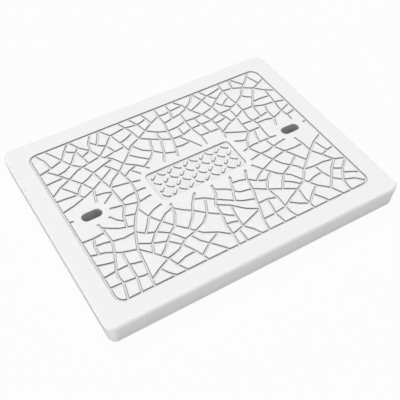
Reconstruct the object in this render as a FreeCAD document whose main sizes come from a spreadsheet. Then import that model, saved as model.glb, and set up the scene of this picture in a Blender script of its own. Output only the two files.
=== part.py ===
import FreeCAD, Part
import collections
import functools
import math
import os
import random
import re
import Sketcher

# A moulded cover for a cable pit: one drafted slab with a crazed web of shallow grooves on top,
# two through slots for the lifting keys, a sunk plaque in the middle and ribs on its underside.
# The origin is in the middle of the underside, X runs along the cover and Z up. Millimetres.

Vector = FreeCAD.Vector
doc = FreeCAD.newDocument("cable_pit_cover")

driving_sizes = {
    "cover_length": 620,
    "cover_width": 480,
    "cover_height": 46,
    "corner_radius": 19,
    "wall_draft": 6.45,  # degrees: the slab narrows towards its underside
    "edge_chamfer": 3.3,
    "rim_width": 41.5,  # from the edge of the slab to the middle of the border groove
    "border_radius": 17,
    "groove_width": 5.4,
    "groove_floor": 3,
    "groove_depth": 2.8,
    "slot_length": 41,
    "slot_width": 21,
    "slot_inset": 86,  # from the end of the slab to the middle of the slot
    "slot_clearing": 15,  # plain land round a slot, where the veins end blind
    "plaque_length": 191,
    "plaque_width": 77.5,
    "plaque_radius": 8.5,
    "plaque_depth": 3,
    "plaque_clearing": 11,
    "stud_length": 15,
    "stud_width": 4.5,
    "stud_pitch": 18,
    "skin_thickness": 12,
    "wall_thickness": 9,
    "core_draft": 1.5,  # degrees: the bays of the underside narrow towards the skin
    "rib_thickness": 5,
    "widest_bay": 60,  # from the middle of one rib to the middle of the next, at the most
    "boss_wall": 8,  # solid material round a slot, from the skin to the underside
    "small_cell": 30,  # a square this wide is as large as the smallest cell that may be split again
    "large_cell": 38.7,  # and one this wide as the largest cell that may stay whole
    "sliver": 18.2,  # no vein cuts off a cell smaller than a square this wide
    "vein_spacing": 11,  # the least room between the ends of two veins
    "vein_reach": 13,  # a vein this near to where others end runs on to that end
    "vein_step": 26,  # a long vein bends about once in this length
    "vein_wander": 4,  # how far a bend lies to the side, at the most
    "spare_cut": 0.25,  # what cuts a groove reaches this far past it
}

sheet = doc.addObject("Spreadsheet::Sheet", "sizes")
for row, (name, number) in enumerate(driving_sizes.items(), 1):
    sheet.set(f"A{row}", name)
    sheet.set(f"B{row}", str(number))
    sheet.setAlias(f"B{row}", name)
doc.recompute()


@functools.cache
def size(expression):
    """What an expression of the sheet's names comes to, such as "cover_width / 2"."""
    found = sheet.evalExpression(expression)
    return float(getattr(found, "Value", found))


def bind(thing, target, expression):
    """Ties a property or a sketch's constraint to an expression of the sheet's names."""
    names = "|".join(driving_sizes)
    thing.setExpression(target, re.sub(rf"\b({names})\b", r"sizes.\1", expression))


# Sizes that follow from the driving ones.

drawn_in = "2 * cover_height * tan(wall_draft * 1deg)"
hollow_length = f"( cover_length - {drawn_in} - 2 * wall_thickness )"
hollow_width = f"( cover_width - {drawn_in} - 2 * wall_thickness )"
hollow_radius = "max( corner_radius - cover_height * tan(wall_draft * 1deg) - wall_thickness ; 1 )"
root_height = "( cover_height - skin_thickness / 2 )"  # ribs and bosses end inside the skin
slot_straight = "( slot_length - slot_width )"
slope = "( ( groove_width - groove_floor ) / ( 2 * groove_depth ) )"  # sideways for each mm of depth

same_place = 0.01  # places nearer than this are one


def new_body(name):
    body = doc.addObject("PartDesign::Body", name)
    body.Label = name
    return body


def new_sketch(body, name, level):
    """An empty sketch on the body's own level plane, lifted to a height."""
    sketch = body.newObject("Sketcher::SketchObject", name)
    plane = next(plane for plane in body.Origin.OriginFeatures if plane.Role == "XY_Plane")
    sketch.AttachmentSupport = [(plane, "")]
    sketch.MapMode = "FlatFace"
    bind(sketch, ".AttachmentOffset.Base.z", level)
    return sketch


def constrain(sketch, kind, *references, name=None, expression=None):
    """A constraint, with a name and a size of its own where it is a dimension."""
    values = [size(expression)] if expression else []
    index = sketch.addConstraint(Sketcher.Constraint(kind, *references, *values))
    if name:
        sketch.renameConstraint(index, name)
        bind(sketch, f"Constraints.{name}", expression)


def arc(centre, radius, start, end):
    """Part of a circle, counter-clockwise from one angle in degrees to another."""
    circle = Part.Circle(centre, Vector(0, 0, 1), radius)
    return Part.ArcOfCircle(circle, math.radians(start), math.radians(end))


def rounded_rectangle(sketch, length, width, radius):
    """A rectangle round the sketch's origin, with four equal round corners."""
    reach = Vector(size(length) / 2, size(width) / 2, 0)
    turn = size(radius)
    inner = reach - Vector(turn, turn, 0)
    sides = [
        (Vector(-inner.x, -reach.y, 0), Vector(inner.x, -reach.y, 0), Vector(inner.x, -inner.y, 0)),
        (Vector(reach.x, -inner.y, 0), Vector(reach.x, inner.y, 0), Vector(inner.x, inner.y, 0)),
        (Vector(inner.x, reach.y, 0), Vector(-inner.x, reach.y, 0), Vector(-inner.x, inner.y, 0)),
        (Vector(-reach.x, inner.y, 0), Vector(-reach.x, -inner.y, 0), Vector(-inner.x, -inner.y, 0)),
    ]
    for quarter, (start, end, centre) in enumerate(sides):
        sketch.addGeometry(Part.LineSegment(start, end))
        sketch.addGeometry(arc(centre, turn, 90 * quarter - 90, 90 * quarter))
    for line in (0, 2, 4, 6):
        constrain(sketch, "Tangent", line, 2, line + 1, 1)
        constrain(sketch, "Tangent", line + 1, 2, (line + 2) % 8, 1)
        constrain(sketch, "Horizontal" if line in (0, 4) else "Vertical", line)
    for corner in (3, 5, 7):
        constrain(sketch, "Equal", 1, corner)
    constrain(sketch, "Symmetric", 1, 3, 5, 3, -1, 1)
    constrain(sketch, "Radius", 1, name="corner", expression=radius)
    constrain(sketch, "DistanceX", 6, 1, 2, 1, name="along", expression=length)
    constrain(sketch, "DistanceY", 0, 1, 4, 1, name="across", expression=width)


def plain_rectangle(sketch, length, width):
    """A rectangle with sharp corners round the sketch's origin."""
    x, y = size(length) / 2, size(width) / 2
    corners = [Vector(-x, -y, 0), Vector(x, -y, 0), Vector(x, y, 0), Vector(-x, y, 0)]
    for side in range(4):
        sketch.addGeometry(Part.LineSegment(corners[side], corners[(side + 1) % 4]))
    for side in range(4):
        constrain(sketch, "Coincident", side, 2, (side + 1) % 4, 1)
        constrain(sketch, "Vertical" if side % 2 else "Horizontal", side)
    constrain(sketch, "Symmetric", 0, 1, 2, 1, -1, 1)
    constrain(sketch, "DistanceX", 0, 1, 0, 2, name="along", expression=length)
    constrain(sketch, "DistanceY", 1, 1, 1, 2, name="across", expression=width)


def slot_pair(sketch, radius):
    """The slots' outlines, or wider ones round them: an oblong with round ends near each end."""
    turn = size(radius)
    up = Vector(0, turn, 0)
    for side, label in ((-1, "left"), (1, "right")):
        first = sketch.GeometryCount
        place = side * size("cover_length / 2 - slot_inset")
        near = Vector(place - size(slot_straight) / 2, 0, 0)
        far = Vector(place + size(slot_straight) / 2, 0, 0)
        sketch.addGeometry(Part.LineSegment(near - up, far - up))
        sketch.addGeometry(arc(far, turn, -90, 90))
        sketch.addGeometry(Part.LineSegment(far + up, near + up))
        sketch.addGeometry(arc(near, turn, 90, 270))
        for piece in range(4):
            constrain(sketch, "Tangent", first + piece, 2, first + (piece + 1) % 4, 1)
        constrain(sketch, "Horizontal", first)
        constrain(sketch, "Equal", first + 1, first + 3)
        constrain(sketch, "PointOnObject", first + 1, 3, -1)
        constrain(sketch, "Radius", first + 1, name=f"{label}_end", expression=radius)
        ends = (first + 3, 3, first + 1, 3)
        constrain(sketch, "DistanceX", *ends, name=f"{label}_run", expression=slot_straight)
        places = (-1, 1, first + 3, 3) if side > 0 else (first + 1, 3, -1, 1)
        inner = f"( cover_length / 2 - slot_inset - {slot_straight} / 2 )"
        constrain(sketch, "DistanceX", *places, name=f"{label}_place", expression=inner)


def extrude(body, kind, name, sketch, length, taper=None, downwards=False):
    """A pad or pocket of a sketch. With a taper above nothing it widens as it goes."""
    feature = body.newObject(f"PartDesign::{kind}", name)
    feature.Profile = sketch
    feature.Reversed = downwards == (kind == "Pad")
    bind(feature, "Length", length)
    if taper:
        bind(feature, "TaperAngle", taper)
    sketch.Visibility = False
    doc.recompute()
    return feature


# The slab, drafted on all sides, with its upper edge chamfered.

blank = new_body("cover_blank")
top_outline = new_sketch(blank, "top_outline", "cover_height")
chamfer_foot = "edge_chamfer * sin(wall_draft * 1deg)"  # the widest place, once the sharp edge is off
rounded_rectangle(
    top_outline,
    f"cover_length + 2 * {chamfer_foot}",
    f"cover_width + 2 * {chamfer_foot}",
    f"corner_radius + {chamfer_foot}",
)
slab = extrude(blank, "Pad", "slab", top_outline, "cover_height", "-1 * wall_draft", downwards=True)

chamfer = blank.newObject("PartDesign::Chamfer", "upper_edge")
top_face = max(range(len(slab.Shape.Faces)), key=lambda index: slab.Shape.Faces[index].CenterOfMass.z)
chamfer.Base = (slab, [f"Face{top_face + 1}"])
bind(chamfer, "Size", "edge_chamfer")

# The hollow underside: an edge wall, ribs both ways and a solid boss round each slot.

hollow = new_sketch(blank, "hollow_outline", "0")
rounded_rectangle(hollow, hollow_length, hollow_width, hollow_radius)
extrude(blank, "Pocket", "underside_hollow", hollow, "cover_height - skin_thickness", "-1 * core_draft")


def ribs(name, length, width, span, axis):
    """A row of equal ribs across a span. Their even number of bays leaves one rib down the middle."""
    bays = f"( 2 * ceil( {span} / ( 2 * widest_bay ) ) )"
    sketch = new_sketch(blank, f"{name}_outline", "0")
    plain_rectangle(sketch, length, width)
    bind(sketch, f".AttachmentOffset.Base.{axis}", f"( 1 / {bays} - 0.5 ) * {span}")
    rib = extrude(blank, "Pad", f"{name}_rib", sketch, root_height, "core_draft")
    row = blank.newObject("PartDesign::LinearPattern", f"{name}_ribs")
    row.Originals = [rib]
    row.Direction = (sketch, ["H_Axis" if axis == "x" else "V_Axis"])
    bind(row, "Occurrences", f"{bays} - 1")
    bind(row, "Length", f"( 1 - 2 / {bays} ) * {span}")
    blank.Tip = row
    doc.recompute()


ribs("long", f"{hollow_length} + wall_thickness", "rib_thickness", hollow_width, "y")
ribs("cross", "rib_thickness", f"{hollow_width} + wall_thickness", hollow_length, "x")

bosses = new_sketch(blank, "boss_outlines", "0")
slot_pair(bosses, "( slot_width / 2 + boss_wall )")
extrude(blank, "Pad", "slot_bosses", bosses, root_height, "core_draft")

slots = new_sketch(blank, "slot_outlines", "0")
slot_pair(slots, "( slot_width / 2 )")
extrude(blank, "Pocket", "lifting_slots", slots, "cover_height")


# The web of veins: spots joined by straight runs, and the cells between them.


def area(places):
    """The area inside a ring of places, positive when the ring runs counter-clockwise."""
    return sum(places[k - 1].cross(places[k]).z for k in range(len(places))) / 2


def heading(degrees):
    return Vector(math.cos(math.radians(degrees)), math.sin(math.radians(degrees)), 0)


def middle(places):
    """The centre of area of a ring of places."""
    total = Vector()
    for k in range(len(places)):
        total += (places[k - 1] + places[k]) * places[k - 1].cross(places[k]).z
    return total / (6 * area(places))


def long_way(places, centre):
    """The angle in degrees of the way along which a ring of places is longest."""
    along = across = mixed = 0
    for k in range(len(places)):
        run = places[k] - places[k - 1]
        arm = (places[k] + places[k - 1]) / 2 - centre
        along += run.Length * arm.x**2
        across += run.Length * arm.y**2
        mixed += run.Length * arm.x * arm.y
    return math.degrees(math.atan2(2 * mixed, along - across) / 2)


def roundness(places):
    """1 for a circle, less for a longer or more ragged ring of places."""
    around = sum((places[k] - places[k - 1]).Length for k in range(len(places)))
    return 4 * math.pi * area(places) / around**2


def holds(places, place):
    """Whether a place lies inside a ring of places."""
    odd = False
    for k in range(len(places)):
        one, two = places[k - 1], places[k]
        if (one.y > place.y) != (two.y > place.y):
            crossing = one.x + (place.y - one.y) * (two.x - one.x) / (two.y - one.y)
            odd = odd != (place.x < crossing)
    return odd


def room(places, place):
    """How far a place lies from the nearest run of a ring."""
    least = math.inf
    for k in range(len(places)):
        run = places[k] - places[k - 1]
        share = (place - places[k - 1]).dot(run) / run.dot(run)
        nearest = places[k - 1] + run * min(max(share, 0), 1)
        least = min(least, (place - nearest).Length)
    return least


def first_hit(places, origin, way):
    """The nearest place where a ray from inside a ring meets it, and the number of that run."""
    hits = []
    for k in range(len(places)):
        run = places[k] - places[k - 1]
        turn = way.cross(run).z
        if turn:
            reach = (places[k - 1] - origin).cross(run).z / turn
            share = (places[k - 1] - origin).cross(way).z / turn
            if reach > 0 and 0 <= share <= 1:
                hits.append((reach, k))
    reach, k = min(hits)
    return origin + way * reach, k


def sides_of(ring, first, last, between):
    """The two rings that a path makes of a ring. It runs from first to last by way of between."""
    start, end = ring.index(first), ring.index(last)
    turned = ring[start:] + ring[:start]
    cut = (end - start) % len(ring)
    return turned[: cut + 1] + between[::-1], turned[cut:] + turned[:1] + between


# Where a vein is to end: on a spot that is there, or where spot is None, at a place on a run.
Tip = collections.namedtuple("Tip", "spot run place")


class Web:
    """Veins on a flat panel. A cell is a counter-clockwise list of the spots round it."""

    pattern = 8  # another whole number lays out another web
    tries = 60  # for a vein across one cell
    sharpest = 48  # degrees between two veins that meet
    swing = 34  # degrees that a vein may turn from the short way across its cell
    first_swing = 0.5  # the share of that which the first tries use; the last ones use 1 more
    off_middle = 0.16  # how far from the middle of a cell a vein may pass, as a share of its size
    bow = 0.09  # how far a vein may bow, as a share of its length
    bend_room = 0.8  # from a bend to the cell's outline, as a share of the spacing
    shortest = 1.6  # length of a vein, as a share of the spacing
    corner_pull = 0.7  # what is left of a vein's reach where only two runs meet
    least_round = 0.6  # of a finished cell
    least_share = 0.3  # of its cell that a vein cuts off
    roomy = 6  # a cell this many times as large as a sliver may be cut into long ones

    def __init__(self):
        self.chance = random.Random(self.pattern)
        self.spots = []
        self.joined = []
        self.cells = []
        self.fences = set()

    def add_spot(self, place):
        self.spots.append(place)
        self.joined.append(set())
        return len(self.spots) - 1

    def join(self, path):
        for one, two in zip(path, path[1:]):
            self.joined[one].add(two)
            self.joined[two].add(one)

    def unjoin(self, one, two):
        self.joined[one].discard(two)
        self.joined[two].discard(one)

    def places(self, cell):
        return [self.spots[spot] for spot in cell]

    def add_ring(self, places, fence=False):
        """A closed outline. A fence ends veins and is taken away once they are all there."""
        ring = [self.add_spot(place) for place in places]
        self.join(ring + ring[:1])
        if fence:
            self.fences |= {frozenset(run) for run in zip(ring, ring[1:] + ring[:1])}
        self.cells.append(ring)
        return ring

    def split_run(self, one, two, place):
        """A new spot on a run, and in the rings beside it."""
        spot = self.add_spot(place)
        self.unjoin(one, two)
        self.join([one, spot, two])
        if frozenset((one, two)) in self.fences:
            self.fences |= {frozenset((one, spot)), frozenset((spot, two))}
        for cell in self.cells:
            for k in range(len(cell)):
                if {cell[k - 1], cell[k]} == {one, two}:
                    cell.insert(k, spot)
                    break
        return spot

    def bent_path(self, start, end):
        """Places between two others, for a vein that bows and wanders a little."""
        span = end - start
        bends = max(2, round(span.Length / size("vein_step")))
        aside = Vector(-span.y, span.x, 0) / span.Length
        bow = self.chance.uniform(-self.bow, self.bow) * span.Length
        wander = size("vein_wander") if bends > 2 else 0
        path = []
        for bend in range(1, bends):
            share = bend / bends
            rise = 4 * share * (1 - share)  # none at the ends and all of the bow half-way
            off = rise * bow + self.chance.uniform(-wander, wander)
            path.append(start + span * share + aside * off)
        return path

    def bridge(self, near_ring, far_ring, origin, way):
        """A vein from one outline to another, along a ray from inside the first."""
        ends = []
        for ring in (near_ring, far_ring):
            place, k = first_hit(self.places(ring), origin, way)
            ends.append(self.split_run(ring[k - 1], ring[k], place))
        between = [self.add_spot(place) for place in self.bent_path(*self.places(ends))]
        self.join([ends[0]] + between + [ends[1]])

    def find_cells(self):
        """All the cells between the veins, by walking round each with the cell on the left."""
        follows = {}
        for spot, near in enumerate(self.joined):
            arms = sorted(near, key=lambda other: self.bearing(spot, other))
            for k, other in enumerate(arms):
                follows[other, spot] = spot, arms[k - 1]
        cells = []
        while follows:
            step = next(iter(follows))
            walk = []
            while step in follows:
                walk.append(step[0])
                step = follows.pop(step)
            cells.append(walk)
        return [cell for cell in cells if area(self.places(cell)) > 0]

    def bearing(self, spot, other):
        arm = self.spots[other] - self.spots[spot]
        return math.atan2(arm.y, arm.x)

    def fenced(self, spot):
        return any(frozenset((spot, other)) in self.fences for other in self.joined[spot])

    def plan_tip(self, cell, origin, way):
        """Where a vein along a ray ends on the outline of a cell, or None if others end too near."""
        place, run = first_hit(self.places(cell), origin, way)
        nearest = min(cell, key=lambda spot: (self.spots[spot] - place).Length)
        arms = len(self.joined[nearest])
        reach = size("vein_reach") * (1 if arms > 2 else self.corner_pull)
        near = (self.spots[nearest] - place).Length < reach
        if near and arms < 4 and not self.fenced(nearest):
            return Tip(nearest, run, self.spots[nearest])
        beside = cell[run - 1], cell[run]
        if frozenset(beside) in self.fences:
            beside = [spot for spot in cell if len(self.joined[spot]) > 2]
        if any((self.spots[spot] - place).Length < size("vein_spacing") for spot in beside):
            return None
        return Tip(None, run, place)

    def sharpness(self, cell, tip, towards):
        """The least angle that a vein makes at its tip with those it meets."""
        others = (cell[tip.run - 1], cell[tip.run]) if tip.spot is None else self.joined[tip.spot]
        arms = [self.spots[other] - tip.place for other in others]
        return min(math.degrees((towards - tip.place).getAngle(arm)) for arm in arms if arm.Length > 0)

    def fits(self, cell, start, end, bends):
        """Whether a vein keeps off the outline, meets it squarely enough and cuts good cells off."""
        places = self.places(cell)
        spare = self.bend_room * size("vein_spacing")
        if not all(holds(places, bend) and room(places, bend) > spare for bend in bends):
            return False
        if self.sharpness(cell, start, bends[0]) < self.sharpest:
            return False
        if self.sharpness(cell, end, bends[-1]) < self.sharpest:
            return False
        ring = list(places)
        for tip in sorted((start, end), key=lambda tip: tip.run, reverse=True):
            if tip.spot is None:
                ring.insert(tip.run, tip.place)
        halves = sides_of(ring, start.place, end.place, bends)
        whole, sliver = area(places), size("sliver") ** 2
        if min(area(half) for half in halves) < max(sliver, self.least_share * whole):
            return False
        return whole > self.roomy * sliver or min(roundness(half) for half in halves) > self.least_round

    def plan_vein(self, cell, attempt):
        """The tips and bends of a vein that splits a cell well, or None."""
        places = self.places(cell)
        centre = middle(places)
        along = long_way(places, centre)
        aside = self.chance.uniform(-self.off_middle, self.off_middle) * math.sqrt(area(places))
        swing = self.swing * (self.first_swing + attempt / self.tries)
        way = heading(along + 90 + self.chance.uniform(-swing, swing))
        origin = centre + heading(along) * aside
        if not holds(places, origin):
            return None
        start, end = (self.plan_tip(cell, origin, ray) for ray in (way, way * -1))
        if start is None or end is None or start.run == end.run:
            return None
        if (end.place - start.place).Length < self.shortest * size("vein_spacing"):
            return None
        bends = self.bent_path(start.place, end.place)
        return (start, end, bends) if self.fits(cell, start, end, bends) else None

    def split_cell(self, cell):
        """Runs a vein across a cell. False when no good one is found."""
        plans = (self.plan_vein(cell, attempt) for attempt in range(self.tries))
        plan = next(filter(None, plans), None)
        if plan is None:
            return False
        start, end, bends = plan
        runs = [(cell[tip.run - 1], cell[tip.run]) for tip in (start, end)]
        tips = [
            self.split_run(*run, tip.place) if tip.spot is None else tip.spot
            for run, tip in zip(runs, (start, end))
        ]
        between = [self.add_spot(bend) for bend in bends]
        self.join([tips[0]] + between + [tips[1]])
        self.cells.remove(cell)
        self.cells += sides_of(cell, *tips, between)
        return True

    def crack(self):
        """Splits the largest cell again and again, until all are about as small as they should be."""
        finished = []
        while self.cells:
            cell = max(self.cells, key=lambda cell: area(self.places(cell)))
            enough = self.chance.uniform(size("small_cell") ** 2, size("large_cell") ** 2)
            if area(self.places(cell)) < enough or not self.split_cell(cell):
                self.cells.remove(cell)
                finished.append(cell)
        self.cells = finished

    def take_fences_away(self):
        for run in self.fences:
            self.unjoin(*run)


def rounded_ring(centre, length, width, radius, step):
    """Places round a rectangle with round corners, counter-clockwise, one every so many degrees."""
    ring = []
    for start in (0, 90, 180, 270):
        quarter = heading(start + 45)
        inner = Vector(
            math.copysign(length / 2 - radius, quarter.x),
            math.copysign(width / 2 - radius, quarter.y),
            0,
        )
        for turn in range(0, 91, step):
            place = centre + inner + heading(start + turn) * radius
            if not ring or not place.isEqual(ring[-1], same_place):
                ring.append(place)
    return ring if not ring[0].isEqual(ring[-1], same_place) else ring[:-1]


# The round corners of the web's outlines have a place every so many degrees.
rim_step, plaque_step, slot_step = 15, 45, 30

# The side of the cover that each slot is on, and the headings of the two veins that leave the land
# round it, one for the border and one for the plaque. They lie a little off the middle line.
slot_veins = ((-1, 176, -6), (1, 5, 183))


def crazed_web():
    """Veins all over the panel, kept off the plain land round the slots and the plaque."""
    web = Web()
    panel_length, panel_width = size("cover_length - 2 * rim_width"), size("cover_width - 2 * rim_width")
    border = rounded_ring(Vector(), panel_length, panel_width, size("border_radius"), rim_step)
    rim = web.add_ring(border)
    plaque_outline = rounded_ring(
        Vector(),
        size("plaque_length + 2 * plaque_clearing"),
        size("plaque_width + 2 * plaque_clearing"),
        size("plaque_radius + plaque_clearing"),
        plaque_step,
    )
    plaque = web.add_ring(plaque_outline, fence=True)
    land_length = size("slot_length + 2 * slot_clearing")
    land_width = size("slot_width + 2 * slot_clearing")
    for side, to_rim, to_plaque in slot_veins:
        slot = Vector(side * size("cover_length / 2 - slot_inset"), 0, 0)
        outline = rounded_ring(slot, land_length, land_width, land_width / 2, slot_step)
        land = web.add_ring(outline, fence=True)
        web.bridge(land, rim, slot, heading(to_rim))
        web.bridge(land, plaque, slot, heading(to_plaque))
    web.cells = [
        cell
        for cell in web.find_cells()
        if not all(frozenset((cell[k - 1], cell[k])) in web.fences for k in range(len(cell)))
    ]
    web.crack()
    web.take_fences_away()
    return web


# What is left standing in a recess: flat-topped solids whose walls lean in as they rise.


class Wall:
    """A sloping wall of a groove. Its level normal points away from the groove, into what stands there.

    At the top it is set back from its place by half a groove, or not at all."""

    def __init__(self, place, normal, back=0):
        self.place = place
        self.normal = normal
        self.back = back

    def offset(self, depth):
        """Where the wall is at a depth below the top, measured along its normal."""
        return self.place.dot(self.normal) + self.back - depth * size(slope)


in_line = 0.001  # the sine of the angle between two walls that run on in line


def outline_at(walls, depth):
    """Where each wall meets the next at a depth."""
    corners = []
    for k, wall in enumerate(walls):
        after = walls[(k + 1) % len(walls)]
        turn = wall.normal.cross(after.normal).z
        one, two = wall.offset(depth), after.offset(depth)
        if abs(turn) > in_line:
            x = (one * after.normal.y - two * wall.normal.y) / turn
            y = (two * wall.normal.x - one * after.normal.x) / turn
            corners.append(Vector(x, y, 0))
        else:
            corners.append(after.place + after.normal * (two - after.place.dot(after.normal)))
    return corners


def standing_solid(walls, low, high):
    """The solid between a ring of walls, from one level to another, less the walls that shrink away."""
    walls = list(walls)
    top = size("cover_height")
    while True:
        ring = outline_at(walls, top - high)
        lost = [
            wall
            for k, wall in enumerate(walls)
            if (ring[k] - ring[k - 1]).dot(Vector(wall.normal.y, -wall.normal.x, 0)) <= 0
        ]
        if not lost:
            break
        walls.remove(lost[0])
    rings = [
        [corner + Vector(0, 0, level) for corner in outline_at(walls, top - level)] for level in (low, high)
    ]
    faces = [Part.Face(Part.makePolygon(ring + ring[:1])) for ring in rings]
    for k in range(len(walls)):
        one, two, three, four = rings[0][k - 1], rings[0][k], rings[1][k], rings[1][k - 1]
        faces.append(Part.Face(Part.makePolygon([one, two, three, four, one])))
    shell = Part.makeShell(faces)
    shell.sewShape()
    solid = Part.makeSolid(shell)
    return solid if solid.Volume > 0 else solid.reversed()


def cell_walls(web, cell):
    """The walls round a cell, with one across the end of each vein that ends blind in it."""
    walls = []
    for k, spot in enumerate(cell):
        here, ahead = web.spots[spot], web.spots[cell[(k + 1) % len(cell)]]
        way = (ahead - here) / (ahead - here).Length
        walls.append(Wall(here, Vector(-way.y, way.x, 0), size("groove_width / 2")))
        if cell[(k + 2) % len(cell)] == spot:
            walls.append(Wall(ahead, way))
    return walls


def stud_walls(centre, turn):
    """The walls of a long six-sided stud, turned by an angle in degrees."""
    half_length, half_width = size("stud_length / 2"), size("stud_width / 2")
    along, across = heading(turn), heading(turn + 90)
    shoulder = half_length - half_width
    corners = [
        along * half_length,
        along * shoulder + across * half_width,
        along * -shoulder + across * half_width,
        along * -half_length,
        along * -shoulder - across * half_width,
        along * shoulder - across * half_width,
    ]
    walls = []
    for k, corner in enumerate(corners):
        way = corner - corners[k - 1]
        walls.append(Wall(centre + corner, Vector(-way.y, way.x, 0) / way.Length))
    return walls


def recess_block(name, length, width, radius, depth):
    """The block that a recess would remove if nothing stood in it, from its floor to past the top."""
    body = new_body(name)
    sketch = new_sketch(body, f"{name}_floor", f"cover_height - {depth}")
    shrink = f"{depth} * {slope}"
    rounded_rectangle(sketch, f"{length} - 2 * {shrink}", f"{width} - 2 * {shrink}", f"{radius} - {shrink}")
    extrude(body, "Pad", f"{name}_block", sketch, f"{depth} + spare_cut", f"atan( {slope} )")
    return body


def relief(name, block, depth, standing):
    """A recess with its standing parts left: the block less those."""
    low, high = size(f"cover_height - {depth} - spare_cut"), size("cover_height + 2 * spare_cut")
    kept = doc.addObject("Part::Feature", f"{name}_kept")
    kept.Shape = Part.makeCompound([standing_solid(walls, low, high) for walls in standing])
    recess = doc.addObject("Part::Cut", f"{name}_recess")
    recess.Base = block
    recess.Tool = kept
    return recess


web = crazed_web()
tiles = [cell_walls(web, cell) for cell in web.find_cells()]
groove_block = recess_block(
    "web",
    "( cover_length - 2 * rim_width + groove_width )",
    "( cover_width - 2 * rim_width + groove_width )",
    "( border_radius + groove_width / 2 )",
    "groove_depth",
)
grooves = relief("web", groove_block, "groove_depth", tiles)

columns = 1 + int(size("( plaque_length - stud_length ) / stud_pitch"))
rows = 1 + int(size("( plaque_width - stud_length ) / stud_pitch"))
stud_turn = 45  # degrees, one way and the other by turns
studs = []
for column in range(columns):
    for row in range(rows):
        centre = Vector(column - (columns - 1) / 2, row - (rows - 1) / 2, 0) * size("stud_pitch")
        studs.append(stud_walls(centre, stud_turn if (column + row) % 2 else -stud_turn))
plaque_block = recess_block("plaque", "plaque_length", "plaque_width", "plaque_radius", "plaque_depth")
plaque = relief("plaque", plaque_block, "plaque_depth", studs)

sunk = doc.addObject("Part::Cut", "cover_with_plaque")
sunk.Base = blank
sunk.Tool = plaque
cover = doc.addObject("Part::Cut", "pit_cover")
cover.Label = "pit_cover"
cover.Base = sunk
cover.Tool = grooves
doc.recompute()

for thing in doc.Objects:
    if "Invalid" in thing.State or "Error" in thing.State:
        raise RuntimeError(f"{thing.Name} failed: {thing.State}")
if cover.Shape.isNull() or not cover.Shape.isValid() or len(cover.Shape.Solids) != 1:
    raise RuntimeError("the cover is not one valid solid")

os.makedirs("parts", exist_ok=True)
cover.Shape.exportStep(f"parts/{cover.Label}.step")
box = cover.Shape.BoundBox
print(f"{cover.Label}: {box.XLength:.2f} x {box.YLength:.2f} x {box.ZLength:.2f} mm")
print(f"{len(tiles)} cells, {len(studs)} studs, {cover.Shape.Volume / 1000:.0f} cubic centimetres")
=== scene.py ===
import math

import bpy
from mathutils import Matrix, Vector


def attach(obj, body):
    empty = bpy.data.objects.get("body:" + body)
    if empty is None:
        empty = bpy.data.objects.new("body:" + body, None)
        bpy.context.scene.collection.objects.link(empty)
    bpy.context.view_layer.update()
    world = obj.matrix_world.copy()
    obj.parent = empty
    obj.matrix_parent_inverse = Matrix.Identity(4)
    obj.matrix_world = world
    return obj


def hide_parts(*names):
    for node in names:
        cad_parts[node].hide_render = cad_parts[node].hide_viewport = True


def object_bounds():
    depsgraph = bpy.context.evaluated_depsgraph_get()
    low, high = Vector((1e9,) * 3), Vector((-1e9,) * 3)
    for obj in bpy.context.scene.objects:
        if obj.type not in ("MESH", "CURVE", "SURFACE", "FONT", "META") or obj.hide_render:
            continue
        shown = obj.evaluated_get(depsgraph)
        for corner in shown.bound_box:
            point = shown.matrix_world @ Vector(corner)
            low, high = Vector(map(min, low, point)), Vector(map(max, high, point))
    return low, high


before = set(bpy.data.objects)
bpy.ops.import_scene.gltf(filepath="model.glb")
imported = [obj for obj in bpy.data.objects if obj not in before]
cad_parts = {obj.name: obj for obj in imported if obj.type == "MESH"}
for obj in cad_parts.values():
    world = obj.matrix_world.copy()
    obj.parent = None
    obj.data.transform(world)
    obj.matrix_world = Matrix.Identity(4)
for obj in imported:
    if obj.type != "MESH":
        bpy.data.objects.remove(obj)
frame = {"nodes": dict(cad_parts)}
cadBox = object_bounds()
print("frame loaded:", ", ".join(frame["nodes"]))


class Shade:  # a value in a node tree, so that a finish is written as plain sums
    def __init__(self, tree, socket=None):
        self.tree = tree
        self.socket = socket

    def make(self, kind, settings=None, sockets=None, out=0):
        node = self.tree.nodes.new(kind)
        for name, value in (settings or {}).items():
            setattr(node, name, value)
        for name, value in (sockets or {}).items():
            if isinstance(value, Shade):
                self.tree.links.new(value.socket, node.inputs[name])
            else:
                node.inputs[name].default_value = value
        return Shade(self.tree, node.outputs[out] if len(node.outputs) else None)

    def maths(self, operation, *values):
        return self.make("ShaderNodeMath", {"operation": operation}, dict(enumerate(values)))

    def __add__(self, other):
        return self.maths("ADD", self, other)

    def __sub__(self, other):
        return self.maths("SUBTRACT", self, other)

    def __rsub__(self, other):
        return self.maths("SUBTRACT", other, self)

    def __mul__(self, other):
        return self.maths("MULTIPLY", self, other)

    def __lt__(self, other):  # 1 where it is so and 0 elsewhere
        return self.maths("LESS_THAN", self, other)

    def __gt__(self, other):
        return self.maths("GREATER_THAN", self, other)

    def __abs__(self):
        return self.maths("ABSOLUTE", self)

    __radd__ = __add__
    __rmul__ = __mul__


def newMaterial(name):
    material = bpy.data.materials.new(name)
    material.use_nodes = True
    material.node_tree.nodes.clear()
    return material, Shade(material.node_tree)


def along(vector, axis):  # how far a place or a direction goes along X, Y or Z
    return vector.make("ShaderNodeSeparateXYZ", sockets={"Vector": vector}, out=axis)


def between(value, low, high):  # 0 up to low, 1 from high on
    return value.make("ShaderNodeMapRange", sockets={"Value": value, "From Min": low, "From Max": high})


def inside(x, y, reach):  # 1 within this reach of the middle, both ways
    return (abs(x) < reach[0]) * (abs(y) < reach[1])


def tint(share, base, other):  # the base colour where the share is 0, the other where it is 1
    colours = {"Factor": share, "A": base, "B": other}
    return share.make("ShaderNodeMix", {"data_type": "RGBA"}, colours, out="Result")


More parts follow.
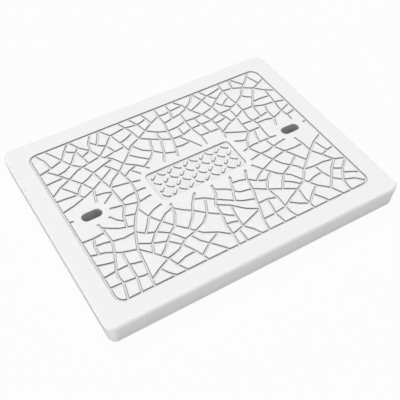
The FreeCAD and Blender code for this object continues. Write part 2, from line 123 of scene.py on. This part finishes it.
def selectOnly(piece):
    bpy.ops.object.select_all(action="DESELECT")
    piece.select_set(True)
    bpy.context.view_layer.objects.active = piece


# the moulded polymer: near white and matt, with a very fine grain, and with shade painted into its
# grooves and slots

polymer = {
    "colour": (0.88, 0.88, 0.876, 1),
    "filler": (0.80, 0.80, 0.795, 1),  # the same a little darker, where the filler shows through
    "sunk": (0.31, 0.31, 0.308, 1),  # painted shade, the darker colour put into the grooves and slots
    "clouds": {"Scale": 28, "Detail": 4, "Roughness": 0.6},  # the scales are per metre
    "grain": {"Scale": 420, "Detail": 3, "Roughness": 0.55},
    "speckle": (0.38, 0.62),  # how sharply the grain shows in the colour
    "cloudTint": 0.1,  # how much of the filler's colour the clouds bring
    "speckleTint": 0.5,
    "roughness": 0.68,
    "grainRoughness": 0.14,  # what the grain adds to it
    "cloudRoughness": 0.08,  # and what the clouds take off
    "gloss": 0.35,
    "cloudDepth": 0.00012,  # metres
    "grainDepth": 0.00004,
}

paintedShadePlaces = {  # where shade is painted into the colour, in metres, from the middle of the cover
    "web": (0.28, 0.21),  # all of the crazed field, out to the plain rim
    "plaque": (0.0942, 0.0375),  # the plaque's floor, which is nearly as pale as the top
    "plaqueFoot": 0.006,  # the width of the painted shade strip along the foot of its walls
    "plaqueShare": 0.06,  # how much painted shade that floor has
    "floorShare": 0.26,  # and how much a groove's floor has
    "slotAt": 0.224,
    "slot": (0.022, 0.012),  # half a slot's length and width and a little more, from its own middle
    "fade": 0.0012,  # the depth over which the painted shade sets in
    "slotFade": 0.033,  # and the same in the slots
    "skin": 0.034,  # how high the cover's skin begins, above the ribs
    "steep": 0.5,  # a face that points up less than this is a wall
    "level": 0.95,  # and one that points up more than this is a floor
}


def paintedRecessShade(place, facing):  # painted shade: 1 on the walls of the grooves and the plaque, and deep in the slots
    x, y, z = (along(place, axis) for axis in "XYZ")
    depth = cadBox[1][2] - z
    deep = between(depth, 0, paintedShadePlaces["fade"])
    deepSlot = between(depth, 0, paintedShadePlaces["slotFade"])
    inWeb = inside(x, y, paintedShadePlaces["web"]) * (z > paintedShadePlaces["skin"])
    inSlot = inside(abs(x) - paintedShadePlaces["slotAt"], y, paintedShadePlaces["slot"])
    foot = x.maths("MAXIMUM", *(
        between(abs(across), reach - paintedShadePlaces["plaqueFoot"], reach)
        for across, reach in zip((x, y), paintedShadePlaces["plaque"])
    ))
    share = paintedShadePlaces["plaqueShare"] + foot * (paintedShadePlaces["floorShare"] - paintedShadePlaces["plaqueShare"])
    level = between(along(facing, "Z"), paintedShadePlaces["steep"], paintedShadePlaces["level"])
    pale = level * (1 - share)
    return deep * inWeb * (1 - pale) * (1 - inSlot) + deepSlot * inSlot


def polymerFinish():
    material, sheet = newMaterial("mouldedPolymer")
    place = sheet.make("ShaderNodeTexCoord", out="Object")
    facing = sheet.make("ShaderNodeTexCoord", out="Normal")
    clouds, grain = (
        sheet.make("ShaderNodeTexNoise", sockets={"Vector": place, **polymer[size]})
        for size in ("clouds", "grain")
    )
    speckle = between(grain, *polymer["speckle"])
    filled = clouds * polymer["cloudTint"] + speckle * polymer["speckleTint"]
    colour = tint(filled, polymer["colour"], polymer["filler"])
    swell = sheet.make("ShaderNodeBump", sockets={"Height": clouds, "Distance": polymer["cloudDepth"]})
    pores = sheet.make(
        "ShaderNodeBump", sockets={"Height": grain, "Distance": polymer["grainDepth"], "Normal": swell}
    )
    rough = polymer["roughness"] + grain * polymer["grainRoughness"] - clouds * polymer["cloudRoughness"]
    surface = sheet.make(
        "ShaderNodeBsdfPrincipled",
        sockets={
            # painted shade: the colour darkens in the grooves, along the plaque's walls and deep in the
            # slots
            "Base Color": tint(paintedRecessShade(place, facing), colour, polymer["sunk"]),
            "Roughness": rough,
            "Specular IOR Level": polymer["gloss"],
            "Normal": pores,
        },
    )
    sheet.make("ShaderNodeOutputMaterial", sockets={"Surface": surface})
    return material


# the cover: the frame's own solid, with its edges eased as a mould leaves them

coverShape = {  # in metres and degrees
    "mergeWithin": 0.00015,
    "flatWithin": 0.1,
    "sharpFrom": 24,
    "edgeEasing": 0.0004,
    "easingSteps": 2,
    "smoothBelow": 40,
    "manyCorners": 24,  # a level face with more corners than this is filled afresh
    "levelFrom": 0.999,  # how nearly upright a level face's normal is
    "sameLevel": 0.00002,
    "heightDigits": 5,  # heights are told apart to this many decimals
}


def isLevel(face):
    return abs(face.normal.z) > coverShape["levelFrom"]


def refillLevels(piece):  # the easing can make a level face with many corners cross itself
    bpy.ops.object.mode_set(mode="OBJECT")
    crowded = [
        face for face in piece.data.polygons
        if isLevel(face) and len(face.vertices) > coverShape["manyCorners"]
    ]
    heights = sorted({round(face.center.z, coverShape["heightDigits"]) for face in crowded})
    print("levels filled afresh:", heights)
    for height in heights:
        bpy.ops.object.mode_set(mode="EDIT")
        bpy.ops.mesh.select_mode(type="FACE")
        bpy.ops.mesh.select_all(action="DESELECT")
        bpy.ops.object.mode_set(mode="OBJECT")
        for face in piece.data.polygons:
            face.select = isLevel(face) and abs(face.center.z - height) < coverShape["sameLevel"]
        bpy.ops.object.mode_set(mode="EDIT")
        bpy.ops.mesh.delete(type="FACE")
        bpy.ops.mesh.select_mode(type="EDGE")
        bpy.ops.mesh.select_all(action="DESELECT")
        bpy.ops.mesh.select_non_manifold(extend=False, use_wire=False, use_multi_face=False)
        bpy.ops.mesh.fill(use_beauty=True)
    bpy.ops.object.mode_set(mode="OBJECT")


def makeCover(node):
    cover = bpy.data.objects.new("cover", node.data.copy())
    bpy.context.scene.collection.objects.link(cover)
    selectOnly(cover)
    bpy.ops.mesh.customdata_custom_splitnormals_clear()
    bpy.ops.object.mode_set(mode="EDIT")
    bpy.ops.mesh.select_mode(type="VERT")
    bpy.ops.mesh.select_all(action="SELECT")
    bpy.ops.mesh.remove_doubles(threshold=coverShape["mergeWithin"])
    bpy.ops.mesh.dissolve_limited(angle_limit=math.radians(coverShape["flatWithin"]))
    bpy.ops.mesh.select_all(action="DESELECT")
    bpy.ops.mesh.select_mode(type="EDGE")
    bpy.ops.mesh.edges_select_sharp(sharpness=math.radians(coverShape["sharpFrom"]))
    bpy.ops.mesh.bevel(
        offset=coverShape["edgeEasing"],
        segments=coverShape["easingSteps"],
        affect="EDGES",
        clamp_overlap=False,
    )
    refillLevels(cover)
    bpy.ops.object.shade_smooth_by_angle(angle=math.radians(coverShape["smoothBelow"]))
    flats = cover.modifiers.new("flatsStayFlat", "WEIGHTED_NORMAL")
    flats.keep_sharp = True
    bpy.ops.object.modifier_apply(modifier=flats.name)
    cover.data.materials.clear()
    cover.data.materials.append(polymerFinish())
    return cover


cover = makeCover(frame["nodes"]["pit_cover"])
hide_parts("pit_cover")
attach(cover, "root")
print("cover made:", len(cover.data.polygons), "faces")


# the stage: a plain floor that looks white and keeps a soft shadow

stageLook = {
    "floorWidth": 12,
    "floorColour": (0.45, 0.45, 0.45, 1),
    "white": (1, 1, 1, 1),
    "whiteShare": 0.96,  # how much of the floor is plain white to the camera; the rest keeps the shadow
    "underCover": 0.01,  # this far in from the cover's edge the floor is left plain, for the slots
    "worldStrength": 0.04,  # on the cover and floor; the camera sees it plain white
}


def makeFloor():
    bpy.ops.object.select_all(action="DESELECT")
    bpy.ops.mesh.primitive_plane_add(size=stageLook["floorWidth"])
    floor = bpy.context.object
    floor.name = "floor"
    material, sheet = newMaterial("paleFloor")
    rays = sheet.make("ShaderNodeLightPath", out="Is Camera Ray")
    place = sheet.make("ShaderNodeTexCoord", out="Object")
    under = inside(
        along(place, "X"), along(place, "Y"), [reach - stageLook["underCover"] for reach in cadBox[1][:2]]
    )
    seenWhite = rays * stageLook["whiteShare"] * (1 - under)
    matt = sheet.make("ShaderNodeBsdfDiffuse", sockets={"Color": stageLook["floorColour"]})
    white = sheet.make("ShaderNodeEmission", sockets={"Color": stageLook["white"], "Strength": 1})
    surface = sheet.make("ShaderNodeMixShader", sockets={0: seenWhite, 1: matt, 2: white})
    sheet.make("ShaderNodeOutputMaterial", sockets={"Surface": surface})
    floor.data.materials.append(material)


def makeWorld():
    world = bpy.data.worlds.new("studio")
    bpy.context.scene.world = world
    world.use_nodes = True
    world.node_tree.nodes.clear()
    air = Shade(world.node_tree)
    rays = air.make("ShaderNodeLightPath", out="Is Camera Ray")
    strength = rays * (1 - stageLook["worldStrength"]) + stageLook["worldStrength"]
    sky = air.make("ShaderNodeBackground", sockets={"Color": stageLook["white"], "Strength": strength})
    air.make("ShaderNodeOutputWorld", sockets={"Surface": sky})


# all the lamps stand far off, so that the light is even: a broad key high behind the cover, a weaker
# one overhead, and two low ones that light its side walls and pass over the grooves

lamps = {  # where each one shines from, its strength and its breadth in degrees
    "key": {"from": (0, 0.5, 0.866), "strength": 2.5, "breadth": 24},
    "overhead": {"from": (0, -0.2, 0.98), "strength": 0.8, "breadth": 40},
    "lowFront": {"from": (0, -0.998, 0.07), "strength": 1.22, "breadth": 8},
    "lowLeft": {"from": (-0.998, 0, 0.07), "strength": 1.26, "breadth": 8},
}


def makeLamps():
    for name, lamp in lamps.items():
        light = bpy.data.lights.new(name, "SUN")
        light.energy = lamp["strength"]
        light.angle = math.radians(lamp["breadth"])
        hung = bpy.data.objects.new(name, light)
        hung.rotation_euler = (-Vector(lamp["from"])).to_track_quat("-Z", "Y").to_euler()
        bpy.context.scene.collection.objects.link(hung)


# the camera stands where the photograph was taken from

cameraView = {
    "place": (-0.49185, -0.82904, 1.03855),  # metres
    "looks": (0.34345, 0.56965, -0.74668),
    "up": (0.38817, 0.63786, 0.66518),
    "lens": 63.98,  # millimetres, and the sensor's width too
    "sensor": 36,
}


def makeCamera():
    ahead = Vector(cameraView["looks"]).normalized()
    right = ahead.cross(Vector(cameraView["up"])).normalized()
    turn = Matrix((right, right.cross(ahead), -ahead)).transposed()
    lens = bpy.data.cameras.new("camera")
    lens.lens = cameraView["lens"]
    lens.sensor_width = cameraView["sensor"]
    camera = bpy.data.objects.new("camera", lens)
    camera.matrix_world = Matrix.Translation(cameraView["place"]) @ turn.to_4x4()
    bpy.context.scene.collection.objects.link(camera)
    bpy.context.scene.camera = camera


makeFloor()
makeWorld()
makeLamps()
makeCamera()
bpy.context.scene.view_settings.view_transform = "Standard"
print("stage, lamps and camera placed")
